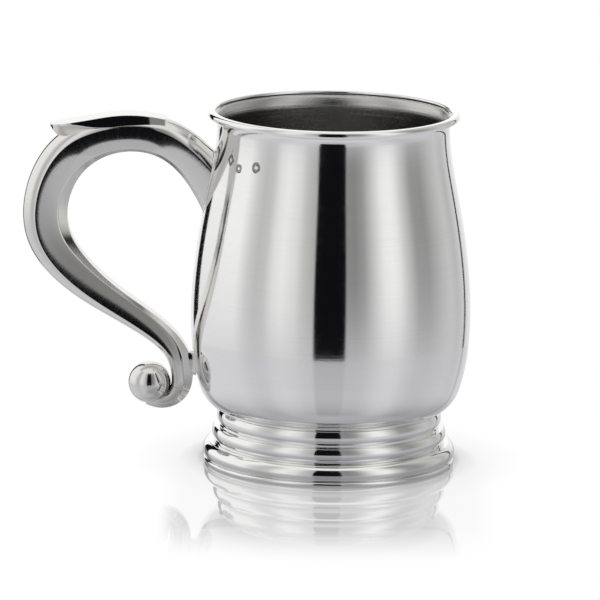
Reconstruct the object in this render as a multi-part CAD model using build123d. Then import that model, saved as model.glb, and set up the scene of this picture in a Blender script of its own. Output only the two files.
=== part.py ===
from build123d import *
from math import atan2, cos, hypot, inf, sin
import os

# A lidless one-pint tankard in polished pewter: spun tulip body with a wired lip, a stepped
# spun foot and a hollow scroll handle with a thumb leaf and a ball terminal.
# Millimetres. Origin at the centre of the foot's resting plane, +Z up, handle towards -X.

# ---- body ----
overall_height = 120.0
seat_level = 17.9           # where the body sits on the foot
seat_radius = 37.2
belly_radius = 47.2
belly_level = 48.0
neck_radius = 39.05
neck_drop = 5.5             # narrowest ring, measured down from the lip
wall = 1.5

# ---- lip ----
flare_reach = 2.25          # how far the spun flare that carries the wire stands out
wire_lap = 1.0              # how far the wire stands out past the flare's edge
wire_height = 1.5
wire_width = 2.7
wire_skirt = 0.6            # how far the wire laps down over the flare's edge

# ---- bottom disc and its solder ----
spigot_shoulder = 1.6       # step in from the seat to the body's short spigot
spigot_depth = 4.3
disc_thickness = 1.6
disc_drop = 1.4             # top of the disc, measured down from the seat
disc_ledge = 0.9            # shoulder that the disc is pushed up against
solder_gap = 0.05
solder_leg = 1.0

# ---- foot ----
flange_level = 7.0          # joint between the reeded collar and the flange
base_wire_height = 1.6
upper_reed_step = 0.2       # upper reed, out from the body's seat
lower_reed_step = 1.5       # lower reed, out from the upper one
reed_bulge = 0.55
reed_fillet = 0.8
collar_wall = 1.3
collar_tongue = 1.6
shoulder_step = 2.0         # top of the flange's curve, out from the lower reed
flange_step = 3.7           # the flange's widest line, out from the lower reed
flange_wall = 2.0
base_wire_tuck = 0.1        # how far the base wire stays inside the flange's widest line
base_wire_width = 2.5
base_wire_upstand = 1.0

# ---- handle ----
handle_low = 33.0           # level of the strut that ties the scroll to the belly
handle_drop = 20.0          # level where the arm meets the body, measured down from the lip
handle_depth = 15.1         # thickest section, back to inner face
handle_half_width = 6.6
handle_wall = 1.5
hollow_overrun = 1.0        # how far the hollow is carried past both ends of the arm
side_lean = 0.205           # how much the flanks draw in towards the inner face
side_bulge = 0.19
chamfer_run = 0.85
# Each station: distance out from the wall line, rise from 0 at the strut to 1 at the upper
# joint, share of the depth, share of the half width, depth of the back band, inner chamfer.
ARM = [
    (-4.9, 0.828, 1.13, 1.09, 4.8, 1.5),
    (4.9, 1.000, 0.92, 1.03, 4.6, 1.3),
    (18.4, 1.146, 0.85, 0.99, 4.3, 1.2),
    (34.3, 1.172, 0.83, 0.99, 4.2, 1.2),
    (48.5, 1.084, 0.98, 1.00, 4.4, 2.0),
    (55.4, 0.884, 1.00, 1.00, 4.4, 3.0),
    (53.6, 0.646, 0.98, 0.99, 4.3, 2.8),
    (43.3, 0.458, 0.85, 0.94, 3.7, 1.8),
    (29.2, 0.309, 0.68, 0.87, 2.8, 1.1),
    (14.8, 0.179, 0.58, 0.81, 2.1, 1.3),
    (4.7, 0.037, 0.52, 0.76, 1.6, 2.2),
    (2.4, -0.055, 0.49, 0.73, 1.3, 2.7),
    (2.3, -0.130, 0.44, 0.70, 1.2, 2.4),
]
SCROLL = [
    (4.3, -0.179, 0.37, 0.64, 1.0, 1.9),
    (8.8, -0.201, 0.30, 0.58, 0.9, 1.5),
    (13.0, -0.190, 0.25, 0.50, 0.8, 1.2),
]
ball_radius = 7.2
ball_out = 12.1             # ball centre, out from the wall line
ball_rise = 6.3             # ball centre, above the scroll's lowest centre line
peg_length = 3.0
peg_gap = 0.5               # the terminal's peg is eased for the curve of the scroll

# ---- thumb leaf ----
leaf_lift = 0.4             # flat top above the arm's crest
# Each station: distance out from the crest, fall of the top, half width, depth of the steep
# flank, whole depth, and the widths at the foot of the flank and at the bottom as shares.
LEAF = [
    (-15.6, 1.4, 4.2, 2.9, 3.2, 1.20, 1.15),
    (-10.2, 0.4, 4.8, 3.6, 3.9, 1.20, 1.15),
    (-4.8, 0.0, 5.1, 4.0, 4.4, 1.20, 1.15),
    (0.6, 0.2, 5.2, 3.9, 4.6, 1.18, 1.00),
    (5.6, 0.9, 5.4, 3.3, 4.9, 1.14, 0.85),
    (9.9, 1.7, 5.6, 2.4, 5.0, 1.10, 0.72),
    (15.9, 2.8, 5.8, 0.7, 5.1, 1.02, 0.40),
    (20.4, 3.6, 4.6, 0.5, 4.3, 1.00, 0.30),
    (22.2, 3.9, 2.7, 0.4, 2.3, 1.00, 0.30),
    (23.2, 4.1, 0.5, 0.3, 0.7, 1.00, 0.50),
]

# ---- joints of the handle ----
strut_half_width = 2.8
strut_height = 8.5
strut_tenon = 1.3           # half width of the tenon let through the scroll's wall
strut_to_face = 7.0         # from inside the belly's line into the scroll, before trimming
strut_overlap = 4.0         # how far inside the belly's line the blank starts
tenon_reach = 1.0
collar_proud = 0.7          # the solder round the arm stands this far off arm and body


def turned(*edges):
    """A closed outline, drawn as radius and height, spun about the vertical axis."""
    return revolve(Plane.XZ * make_face(edges), Axis.Z)


def ring(inner, outer, low, high):
    """A plain ring between two radii and two levels."""
    return turned(Polyline((inner, low), (outer, low), (outer, high), (inner, high), close=True))


# ------------------------------------------------------------------ sizes that follow
neck_level = overall_height - neck_drop
wire_base = overall_height - wire_height
upper_joint_level = overall_height - handle_drop
flare_radius = neck_radius + flare_reach
wire_outer = flare_radius + wire_lap
spigot_radius = seat_radius - spigot_shoulder
upper_reed_radius = seat_radius + upper_reed_step
lower_reed_radius = upper_reed_radius + lower_reed_step
flange_shoulder = lower_reed_radius + shoulder_step
flange_radius = lower_reed_radius + flange_step
base_wire_outer = flange_radius - base_wire_tuck


# ------------------------------------------------------------------ body
def wall_line(grow=0.0):
    """Outer line of the body from the seat to the flare's edge, moved outwards by grow."""
    rise = neck_level - belly_level
    slim = belly_radius - neck_radius
    spread = belly_radius - seat_radius
    tulip = Spline(
        (seat_radius, seat_level),
        (seat_radius + 0.53 * spread, seat_level + 4.6),
        (seat_radius + 0.75 * spread, seat_level + 10.1),
        (belly_radius, belly_level),
        (neck_radius + 0.84 * slim, belly_level + rise / 3),
        (neck_radius + 0.39 * slim, belly_level + rise * 2 / 3),
        (neck_radius, neck_level),
        tangents=((0.85, 0.5), (0, 1)),
        tangent_scalars=(1, 1),
    )
    flare = TangentArc((neck_radius, neck_level), (flare_radius, wire_base), tangent=(0, 1))
    if grow == 0.0:
        return [tulip, flare]
    moved = []
    for line, count in ((tulip, 16), (flare, 4)):
        for step in range(count + (line is flare)):
            along = line % (step / count)
            moved.append(line @ (step / count) + Vector(along.Y, -along.X) * grow)
    return [Spline(*moved)]


def make_body_envelope(grow=0.0):
    """The body as if it were solid, used to shape what is soldered to it."""
    line = wall_line(grow)
    foot = line[0] @ 0
    top = line[-1] @ 1
    return turned(*line, Polyline(top, (0, top.Y), (0, foot.Y), foot))


def make_body_shell():
    """Spun wall with its flare, the seat on the foot, the spigot and the disc's shoulder."""
    outer = wall_line()
    inner = wall_line(-wall)[0]
    inner_foot = inner @ 0
    inner_top = inner @ 1
    disc_radius = spigot_radius - wall
    ledge_radius = disc_radius - disc_ledge
    disc_top = seat_level - disc_drop
    spigot_end = seat_level - spigot_depth
    close = Polyline(
        inner_foot,
        (ledge_radius, inner_foot.Y - 1.0),
        (ledge_radius, disc_top),
        (disc_radius, disc_top),
        (disc_radius, spigot_end),
        (spigot_radius, spigot_end),
        (spigot_radius, seat_level),
        (seat_radius, seat_level),
    )
    blank = turned(*outer, Line(outer[-1] @ 1, inner_top), inner, close)
    return blank - ring(1.0, wire_outer, wire_base, overall_height)


def make_mouth_wire():
    """Drawn wire soldered round the mouth: rounded outside, with a rebate for the flare."""
    edge = flare_radius + solder_gap
    inner = wire_outer - wire_width
    skirt = wire_base - wire_skirt
    nose = wire_outer - 0.25
    blank = turned(
        Polyline((nose, skirt), (inner, skirt), (inner, overall_height - 0.6)),
        ThreePointArc(
            (inner, overall_height - 0.6),
            (inner + 0.3, overall_height - 0.12),
            (inner + 0.9, overall_height),
        ),
        Line((inner + 0.9, overall_height), (nose - 0.5, overall_height)),
        ThreePointArc(
            (nose - 0.5, overall_height),
            (wire_outer, (overall_height + skirt) / 2 + 0.2),
            (nose, skirt),
        ),
    )
    return blank - ring(inner - 1, edge, skirt - 1, wire_base)


def make_floor_disc():
    """Flat bottom pushed up against the shoulder inside the spigot."""
    top = seat_level - disc_drop
    radius = spigot_radius - wall - solder_gap
    return Pos(0, 0, top - disc_thickness / 2) * Cylinder(radius, disc_thickness)


def make_floor_solder():
    """Fillet of solder under the disc, in the corner with the spigot."""
    level = seat_level - disc_drop - disc_thickness
    corner = spigot_radius - wall
    return turned(
        Polyline((corner, level), (corner - solder_leg, level), (corner, level - solder_leg), close=True)
    )


def make_foot_solder():
    """Fillet of solder inside the foot, in the corner under the spigot."""
    level = seat_level - spigot_depth
    corner = spigot_radius + solder_gap
    return turned(
        Polyline((corner, level), (corner - solder_leg, level), (corner, level - solder_leg), close=True)
    )


# ------------------------------------------------------------------ foot
def make_foot_collar():
    """Reeded collar: socket for the body's spigot above, tongue into the flange below."""
    socket = spigot_radius + solder_gap
    step_level = (seat_level + flange_level) / 2
    reed_low = step_level + reed_fillet
    lower_low = flange_level + reed_fillet + 0.3
    throat = seat_level - spigot_depth - solder_leg - 0.2
    tongue_inner = lower_reed_radius - collar_wall
    tongue_end = flange_level - collar_tongue
    waist = upper_reed_radius - 0.1
    foot_of_reed = lower_reed_radius + 0.2
    upper_reed = ThreePointArc(
        (upper_reed_radius, seat_level - 0.2),
        (upper_reed_radius + reed_bulge, (seat_level - 0.2 + reed_low) / 2),
        (upper_reed_radius, reed_low),
    )
    lower_reed = ThreePointArc(
        (lower_reed_radius, step_level - 0.15),
        (lower_reed_radius + reed_bulge + 0.1, (step_level - 0.15 + lower_low) / 2),
        (foot_of_reed, lower_low),
    )
    return turned(
        Polyline((socket, seat_level), (upper_reed_radius - 0.2, seat_level), upper_reed @ 0),
        upper_reed,
        Polyline(upper_reed @ 1, (waist, reed_low), (waist, step_level), lower_reed @ 0),
        lower_reed,
        Polyline(
            lower_reed @ 1,
            (foot_of_reed, flange_level),
            (lower_reed_radius, flange_level),
            (lower_reed_radius, tongue_end),
            (tongue_inner, tongue_end),
            (tongue_inner, flange_level + 1.0),
            (socket, throat),
            (socket, seat_level),
        ),
    )


def make_foot_flange():
    """Bold ovolo that spreads the foot, bored for the collar's tongue and rebated below."""
    bore = lower_reed_radius + solder_gap
    tongue_end = flange_level - collar_tongue
    hollow = flange_radius - flange_wall
    return turned(
        Polyline((bore, flange_level), (flange_shoulder - 0.1, flange_level)),
        Line((flange_shoulder - 0.1, flange_level), (flange_shoulder, flange_level - 0.15)),
        ThreePointArc(
            (flange_shoulder, flange_level - 0.15),
            (flange_radius - 0.1, flange_level - 2.2),
            (flange_radius - 0.2, base_wire_height + 0.7),
        ),
        Polyline(
            (flange_radius - 0.2, base_wire_height + 0.7),
            (flange_radius - 0.8, base_wire_height + 0.3),
            (flange_radius - 0.8, base_wire_height),
            (hollow, base_wire_height),
            (hollow, base_wire_height + 1.9),
            (bore, tongue_end - 0.4),
            (bore, flange_level),
        ),
    )


def make_base_wire():
    """Wire that the tankard rests on, with an upstand that centres it in the flange."""
    hollow = flange_radius - flange_wall - solder_gap
    inner = base_wire_outer - base_wire_width
    top = base_wire_height
    return turned(
        Polyline(
            (base_wire_outer - 0.3, 0),
            (inner, 0),
            (inner, top + base_wire_upstand),
            (hollow, top + base_wire_upstand),
            (hollow, top),
            (base_wire_outer - 0.5, top),
        ),
        ThreePointArc(
            (base_wire_outer - 0.5, top),
            (base_wire_outer, top * 0.55),
            (base_wire_outer - 0.3, 0),
        ),
    )


# ------------------------------------------------------------------ handle
def place(out, rise):
    """A point of the handle's middle plane, tied to the belly below and the neck above."""
    line_radius = belly_radius + (neck_radius - belly_radius) * rise
    level = handle_low + (upper_joint_level - handle_low) * rise
    return -(line_radius + out), level


CENTRES = [place(out, rise) for out, rise, *_ in ARM + SCROLL]


def heading(index):
    """Direction of the handle's centre line at a station, from its neighbours."""
    before = CENTRES[max(index - 1, 0)]
    here = CENTRES[index]
    after = CENTRES[min(index + 1, len(CENTRES) - 1)]
    near = hypot(here[0] - before[0], here[1] - before[1]) or inf
    far = hypot(after[0] - here[0], after[1] - here[1]) or inf
    dx = (here[0] - before[0]) / near**2 + (after[0] - here[0]) / far**2
    dz = (here[1] - before[1]) / near**2 + (after[1] - here[1]) / far**2
    turn = atan2(dz, dx)
    return cos(turn), sin(turn)


def handle_plane(index):
    """Plane across the handle at a station, its local x running from back to inner face."""
    dx, dz = heading(index)
    x, z = CENTRES[index]
    return Plane(origin=(x, 0, z), x_dir=(-dz, 0, dx), z_dir=(dx, 0, dz))


def section_corners(index, inset):
    """Corners of one side of the section at a station, from the back to the inner face."""
    _, _, depth_share, width_share, band, chamfer = (ARM + SCROLL)[index]
    depth = handle_depth * depth_share
    half = handle_half_width * width_share - inset
    back = inset - depth / 2
    crease = back + band - 0.4 * inset
    face = depth / 2 - inset
    fold = face - chamfer + 0.4 * inset
    flank = half - side_lean * (fold - crease)
    edge = flank - chamfer_run * (face - fold)
    swell = (crease + fold) / 2, (half + flank) / 2 + side_bulge
    return (back, 0), (crease, half), swell, (fold, flank), (face, edge)


def mirrored(point):
    """The same point of a section on the other side of the handle's middle plane."""
    return point[0], -point[1]


def handle_section(index, inset=0.0):
    """Section at a station: crowned back band, leaning flanks, chamfers and inner face."""
    back, crease, swell, fold, edge = section_corners(index, inset)
    outline = [
        ThreePointArc(mirrored(crease), back, crease),
        ThreePointArc(crease, swell, fold),
        Polyline(fold, edge, mirrored(edge), mirrored(fold)),
        ThreePointArc(mirrored(fold), mirrored(swell), mirrored(crease)),
    ]
    return handle_plane(index) * make_face(outline)


def half_section(index, side):
    """The part of the section on one side of the seam that runs round the handle."""
    corners = section_corners(index, 0.0)
    back, crease, swell, fold, edge = corners if side > 0 else [mirrored(one) for one in corners]
    outline = [
        TangentArc(back, crease, tangent=(0, side)),
        ThreePointArc(crease, swell, fold),
        Polyline(fold, edge, (edge[0], 0), back),
    ]
    return handle_plane(index) * make_face(outline)


def handle_loft(first, last, inset=0.0):
    """The handle's form between two stations, drawn in or, below zero, grown by inset."""
    return loft([handle_section(index, inset) for index in range(first, last + 1)])


def make_arm_hollow():
    """Hollow of the arm, carried past both its ends so that it is open there."""
    sections = [handle_section(index, handle_wall) for index in range(joint + 1)]
    for index, way in ((0, -hollow_overrun), (joint, hollow_overrun)):
        dx, dz = heading(index)
        sections[index] = Pos(way * dx, 0, way * dz) * sections[index]
    return loft(sections)


joint = len(ARM) - 1
near_form, far_form = [
    loft([half_section(index, side) for index in range(joint + 1)]) for side in (-1, 1)
]
arm_hollow = make_arm_hollow()
body_form = make_body_envelope()


def strut_block(half_width, height, reach):
    """Upright block from the belly into the scroll, centred on the strut's level."""
    x, _ = place(0.0, 0.0)
    return Pos(x + strut_overlap - reach / 2, 0, handle_low) * Box(reach, 2 * half_width, height)


tenon_block = strut_block(strut_tenon, strut_height * 0.5, strut_to_face + handle_wall + tenon_reach)


def make_handle_half(form):
    """One of the two cast shells soldered together along the handle's middle plane."""
    return form - arm_hollow - body_form - tenon_block


def make_scroll_terminal():
    """Solid cast end of the scroll: the tight curl, the ball and a peg into the hollow arm."""
    last = joint + len(SCROLL)
    curl = handle_loft(joint, last)
    x, _ = place(ball_out, SCROLL[-2][1])
    _, lowest = place(0.0, SCROLL[-2][1])
    ball = Pos(x, 0, lowest + ball_rise) * Sphere(ball_radius)
    peg_face = handle_section(joint, handle_wall + peg_gap)
    dx, dz = heading(joint)
    peg = extrude(peg_face, amount=peg_length, dir=(-dx, 0, -dz))
    return curl + (ball - near_form - far_form) + peg


def crest():
    """Highest point of the arm's back, where the leaf lies flat on it."""
    top = max(range(len(ARM)), key=lambda index: CENTRES[index][1])
    x, z = CENTRES[top]
    return x, z + handle_depth * ARM[top][2] / 2


def leaf_section(out, fall, half, flank, depth, flank_share, foot_share):
    """Section across the leaf: flat top, steep flanks, then an underside drawn inwards."""
    x, z = crest()
    top = z + leaf_lift - fall
    right = [
        (half, top),
        (half * flank_share, top - flank),
        (half * foot_share, top - depth),
    ]
    left = [(-across, level) for across, level in reversed(right)]
    return Plane(origin=(x - out, 0, 0), x_dir=(0, 1, 0), z_dir=(1, 0, 0)) * make_face(
        Polyline(*right, *left, close=True)
    )


def make_thumb_leaf():
    """Leaf that the thumb presses, fitted to the arm's back with its tip flying clear."""
    blank = loft([leaf_section(*station) for station in LEAF])
    return blank - near_form - far_form


def make_handle_strut():
    """Short cast strut between belly and scroll, its tenon let through the scroll's wall."""
    block = strut_block(strut_half_width, strut_height, strut_to_face) - near_form - far_form
    return (block + tenon_block) - body_form


def make_handle_solder():
    """Band of solder round the arm's upper end, lying on the body."""
    grown = handle_loft(0, 3, -collar_proud)
    skin = make_body_envelope(collar_proud) - body_form
    return (grown & skin) - near_form - far_form


def largest(shape):
    """The largest solid of a piece, in case a cut leaves a crumb beside it."""
    return max(shape.solids(), key=lambda solid: solid.volume)


os.makedirs("parts", exist_ok=True)
pieces = {
    "body_shell": make_body_shell(),
    "mouth_wire": make_mouth_wire(),
    "floor_disc": make_floor_disc(),
    "floor_solder": make_floor_solder(),
    "foot_solder": make_foot_solder(),
    "foot_collar": make_foot_collar(),
    "foot_flange": make_foot_flange(),
    "base_wire": make_base_wire(),
    "handle_near_half": make_handle_half(near_form),
    "handle_far_half": make_handle_half(far_form),
    "scroll_terminal": make_scroll_terminal(),
    "thumb_leaf": make_thumb_leaf(),
    "handle_strut": make_handle_strut(),
    "handle_solder": make_handle_solder(),
}
for name, piece in pieces.items():
    print(name, len(piece.solids()), round(piece.volume, 1), piece.is_valid)
    export_step(largest(piece), f"parts/{name}.step")
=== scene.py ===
"""A one-pint pewter tankard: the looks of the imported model.

Everything is in the model's own frame, +Z up and the handle towards -X. Sizes are given in
millimetres, as a pewterer would, and become metres when a mesh is made.
"""

import logging
import math
from dataclasses import dataclass
from enum import Enum

import bmesh
import bpy
import numpy as np
from mathutils import Matrix, Vector


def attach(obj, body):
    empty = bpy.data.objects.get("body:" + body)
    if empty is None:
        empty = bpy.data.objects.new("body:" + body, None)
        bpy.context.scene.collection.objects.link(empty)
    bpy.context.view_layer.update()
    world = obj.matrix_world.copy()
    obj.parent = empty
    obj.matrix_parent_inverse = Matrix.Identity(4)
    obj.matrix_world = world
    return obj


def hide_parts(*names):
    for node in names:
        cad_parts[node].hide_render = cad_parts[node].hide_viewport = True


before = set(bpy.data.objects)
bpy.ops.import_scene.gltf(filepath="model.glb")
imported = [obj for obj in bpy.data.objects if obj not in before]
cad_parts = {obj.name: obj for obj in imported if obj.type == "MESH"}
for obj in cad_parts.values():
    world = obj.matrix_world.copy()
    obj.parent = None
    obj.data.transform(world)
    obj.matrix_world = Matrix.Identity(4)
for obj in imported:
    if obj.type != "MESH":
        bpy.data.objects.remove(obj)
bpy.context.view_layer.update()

MM = 0.001
BODY = "root"
log = logging.getLogger("tankard")

Span = tuple[float, float]
Point = tuple[float, float]
Shade = tuple[float, float, float]
Rows = tuple[tuple[float, ...], ...]

FALLING: Span = (1.0, 0.0)  # results of a mask that ends at nothing
BRIGHT = 0.86  # share of light that polished pewter gives back
STRUCK_RADIUS = 0.0396  # the body's radius where the marks are struck, in metres
COLOUR_MIX_INPUTS = (0, 6, 7)  # sockets of a colour mix: share, first and second colour
COLOUR_MIX_RESULT = 2
NUMBER_MIX_INPUTS = (0, 2, 3)  # sockets of a number mix: share, first and second number


# ---------------------------------------------------------------- curves and surfaces
class SmoothCurve:
    """Cubic curve through given points with slope and curvature running on at each one.

    Between two neighbouring knots the value is a*P + b*Q + ((a^3-a)*p + (b^3-b)*q)*h^2/6, where
    a and b are the shares of the gap h still to go and already gone, P and Q the end values and
    p and q the second derivatives there. One linear system gives all second derivatives.
    """

    def __init__(
        self,
        points: np.ndarray,
        knots: np.ndarray | None = None,
        start: np.ndarray | None = None,
        end: np.ndarray | None = None,
    ) -> None:
        """Solves the second derivatives.

        Args:
            points: one row of values for each knot.
            knots: rising positions; the distance run along the points where left out.
            start: slope at the first knot, or None for no curvature there.
            end: slope at the last knot, or None for no curvature there.
        """
        self.points = np.asarray(points, float)
        count = len(self.points)
        if knots is None:
            runs = np.linalg.norm(np.diff(self.points, axis=0), axis=1)
            knots = np.concatenate([[0.0], np.cumsum(runs)])
        self.knots = np.asarray(knots, float)
        gaps = np.diff(self.knots)
        slopes = np.diff(self.points, axis=0) / gaps[:, None]
        system = np.eye(count)
        known = np.zeros_like(self.points)
        inner = np.arange(1, count - 1)
        system[inner, inner - 1] = gaps[:-1]
        system[inner, inner] = 2 * (gaps[:-1] + gaps[1:])
        system[inner, inner + 1] = gaps[1:]
        known[inner] = 6 * np.diff(slopes, axis=0)
        if start is not None:
            system[0, :2] = 2 * gaps[0], gaps[0]
            known[0] = 6 * (slopes[0] - np.asarray(start, float))
        if end is not None:
            system[-1, -2:] = gaps[-1], 2 * gaps[-1]
            known[-1] = 6 * (np.asarray(end, float) - slopes[-1])
        self.bends = np.linalg.solve(system, known)

    def __call__(self, at: np.ndarray) -> np.ndarray:
        """Values at positions.

        Args:
            at: positions between the first knot and the last, of any shape.

        Returns:
            An array with one more axis than at, which holds the values.
        """
        at = np.asarray(at, float)
        cell = np.searchsorted(self.knots, at, side="right") - 1
        cell = np.clip(cell, 0, len(self.knots) - 2)
        gap = (self.knots[cell + 1] - self.knots[cell])[..., None]
        gone = (at[..., None] - self.knots[cell][..., None]) / gap
        left = 1 - gone
        bend = (left**3 - left) * self.bends[cell] + (gone**3 - gone) * self.bends[cell + 1]
        return left * self.points[cell] + gone * self.points[cell + 1] + bend * gap**2 / 6

    @property
    def length(self) -> float:
        """Position of the last knot."""
        return float(self.knots[-1])


def arc(start: Point, middle: Point, end: Point, count: int = 13) -> np.ndarray:
    """Points on the circle through three points.

    The centre solves the two equations that make its distances to the three points equal, and
    the angle runs evenly from the first point, by way of the second, to the third.

    Args:
        start: first point, radius and height.
        middle: a point between.
        end: last point.
        count: number of points.

    Returns:
        An array of count rows.
    """
    a, b, c = (np.array(p, float) for p in (start, middle, end))
    centre = np.linalg.solve(2 * np.array([b - a, c - a]), [b @ b - a @ a, c @ c - a @ a])
    turns = [math.atan2(p[1] - centre[1], p[0] - centre[0]) for p in (a, b, c)]
    whole = 2 * math.pi
    to_end = (turns[2] - turns[0]) % whole
    if (turns[1] - turns[0]) % whole > to_end:
        to_end -= whole
    angles = turns[0] + np.linspace(0, to_end, count)
    radius = math.hypot(*(a - centre))
    return centre + radius * np.stack([np.cos(angles), np.sin(angles)], axis=1)


def bow(first: np.ndarray, pull: np.ndarray, last: np.ndarray, t: np.ndarray) -> np.ndarray:
    """Quadratic curve (1-t)^2 * first + 2 t (1-t) * pull + t^2 * last.

    Args:
        first: where it starts.
        pull: the point that it is drawn towards.
        last: where it ends.
        t: shares of the way, from 0 to 1.

    Returns:
        Points, in the shape that the four arrays make together.
    """
    return (1 - t) ** 2 * first + 2 * t * (1 - t) * pull + t**2 * last


def softened(
    outline: np.ndarray, radius: float = 0.12, steps: int = 4, sharp: float = 18.0
) -> np.ndarray:
    """A closed outline whose corners are worn round.

    Each corner sharper than the given turn is replaced by the quadratic curve that starts a
    little before it, is drawn towards it and ends as far after it.

    Args:
        outline: corner points in order, not repeated at the end.
        radius: how far before and after a corner the rounding reaches, in millimetres.
        steps: number of short runs in a rounding.
        sharp: turn in degrees from which a corner is rounded.

    Returns:
        The new outline, in order and not repeated at the end.
    """
    before = np.roll(outline, 1, axis=0) - outline
    after = np.roll(outline, -1, axis=0) - outline
    run_in = np.linalg.norm(before, axis=1)
    run_out = np.linalg.norm(after, axis=1)
    cosine = -np.sum(before * after, axis=1) / (run_in * run_out)
    corner = np.degrees(np.arccos(np.clip(cosine, -1, 1))) > sharp
    reach = np.minimum(radius, 0.45 * np.minimum(run_in, run_out)) * corner
    first = outline + before * (reach / run_in)[:, None]
    last = outline + after * (reach / run_out)[:, None]
    t = np.linspace(0, 1, steps + 1)[None, :, None]
    curve = bow(first[:, None], outline[:, None], last[:, None], t)
    keep = np.zeros(curve.shape[:2], bool)
    keep[:, 0] = True
    keep[corner] = True
    return curve[keep]


def turned(outline: np.ndarray, around: int = 288) -> np.ndarray:
    """Surface of an outline carried round the upright axis.

    Point (r, z) of the outline goes to (r cos a, r sin a, z) for every angle a.

    Args:
        outline: radii and heights in millimetres.
        around: number of angles.

    Returns:
        A grid of points, outline by angle.
    """
    angle = np.linspace(0, 2 * math.pi, around, endpoint=False)
    radius, height = outline[:, 0, None], outline[:, 1, None]
    level = np.broadcast_to(height, (len(outline), around))
    return np.stack([radius * np.cos(angle), radius * np.sin(angle), level], axis=-1)


def skin(
    name: str,
    grids: list[np.ndarray],
    closed_rows: bool = False,
    caps: bool = False,
    uv: list[np.ndarray] | None = None,
) -> bpy.types.Object:
    """A smooth mesh piece from grids of points, each of them closed round its second axis.

    Cell (i, j) of a grid is the quadrilateral between rows i and i+1 and columns j and j+1.
    Points that coincide, as at a pole, are merged, and faces are then turned outwards.

    Args:
        name: the piece's name.
        grids: arrays of rows by columns by three coordinates, in millimetres.
        closed_rows: whether the last row joins the first, as in a ring.
        caps: whether open ends are closed with a fan about their middle.
        uv: for each grid, rows by columns by two surface coordinates, in metres.

    Returns:
        The piece, linked to the scene, at the origin and riding on the body.
    """
    points, quads, marks, base = [], [], [], 0
    for number, grid in enumerate(grids):
        mark = np.zeros(grid.shape[:2] + (2,)) if uv is None else uv[number]
        if caps:
            ends = [np.broadcast_to(grid[k].mean(axis=0), grid[k].shape) for k in (0, -1)]
            grid = np.concatenate([ends[0][None], grid, ends[1][None]])
            mark = np.concatenate([mark[:1], mark, mark[-1:]])
        rows, columns = grid.shape[:2]
        index = base + np.arange(rows * columns).reshape(rows, columns)
        index = np.concatenate([index, index[:, :1]], axis=1)
        if closed_rows:
            index = np.concatenate([index, index[:1]], axis=0)
        cells = [index[:-1, :-1], index[:-1, 1:], index[1:, 1:], index[1:, :-1]]
        points.append(grid.reshape(-1, 3))
        marks.append(mark.reshape(-1, 2))
        quads.append(np.stack(cells, axis=-1).reshape(-1, 4))
        base += rows * columns
    mesh = bpy.data.meshes.new(name)
    placed = np.concatenate(points) * MM
    mesh.from_pydata(placed.tolist(), [], np.concatenate(quads).tolist())
    if uv is not None:
        layer = mesh.uv_layers.new(name="surface")
        corner = np.zeros(len(mesh.loops), np.int32)
        mesh.loops.foreach_get("vertex_index", corner)
        values = np.concatenate(marks)[corner].astype(np.float32)
        layer.data.foreach_set("uv", values.ravel())
    work = bmesh.new()
    work.from_mesh(mesh)
    bmesh.ops.remove_doubles(work, verts=work.verts, dist=1e-7)
    bmesh.ops.dissolve_degenerate(work, dist=1e-8, edges=work.edges)
    bmesh.ops.recalc_face_normals(work, faces=work.faces)
    work.to_mesh(mesh)
    work.free()
    mesh.polygons.foreach_set("use_smooth", np.ones(len(mesh.polygons), bool))
    mesh.update()
    piece = bpy.data.objects.new(name, mesh)
    bpy.context.scene.collection.objects.link(piece)
    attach(piece, BODY)
    return piece


def stand_for(
    piece: bpy.types.Object, material: bpy.types.Material, slot: str, *nodes: str
) -> None:
    """Dresses a piece, says which CAD nodes it stands for and reports it.

    Args:
        piece: the finished piece.
        material: its finish.
        slot: the record's material slot; not used.
        nodes: names of the CAD nodes.
    """
    piece.data.materials.append(material)
    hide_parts(*nodes)
    faces = len(piece.data.polygons)
    log.info("%s: %d faces, stands for %s", piece.name, faces, ", ".join(nodes))


# ---------------------------------------------------------------- finishes
class Direction(Enum):
    """Which way the polishing marks of a finish run."""

    ROUND = "round the upright axis"
    ACROSS = "across the handle"
    FREE = "no one way"


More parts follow.
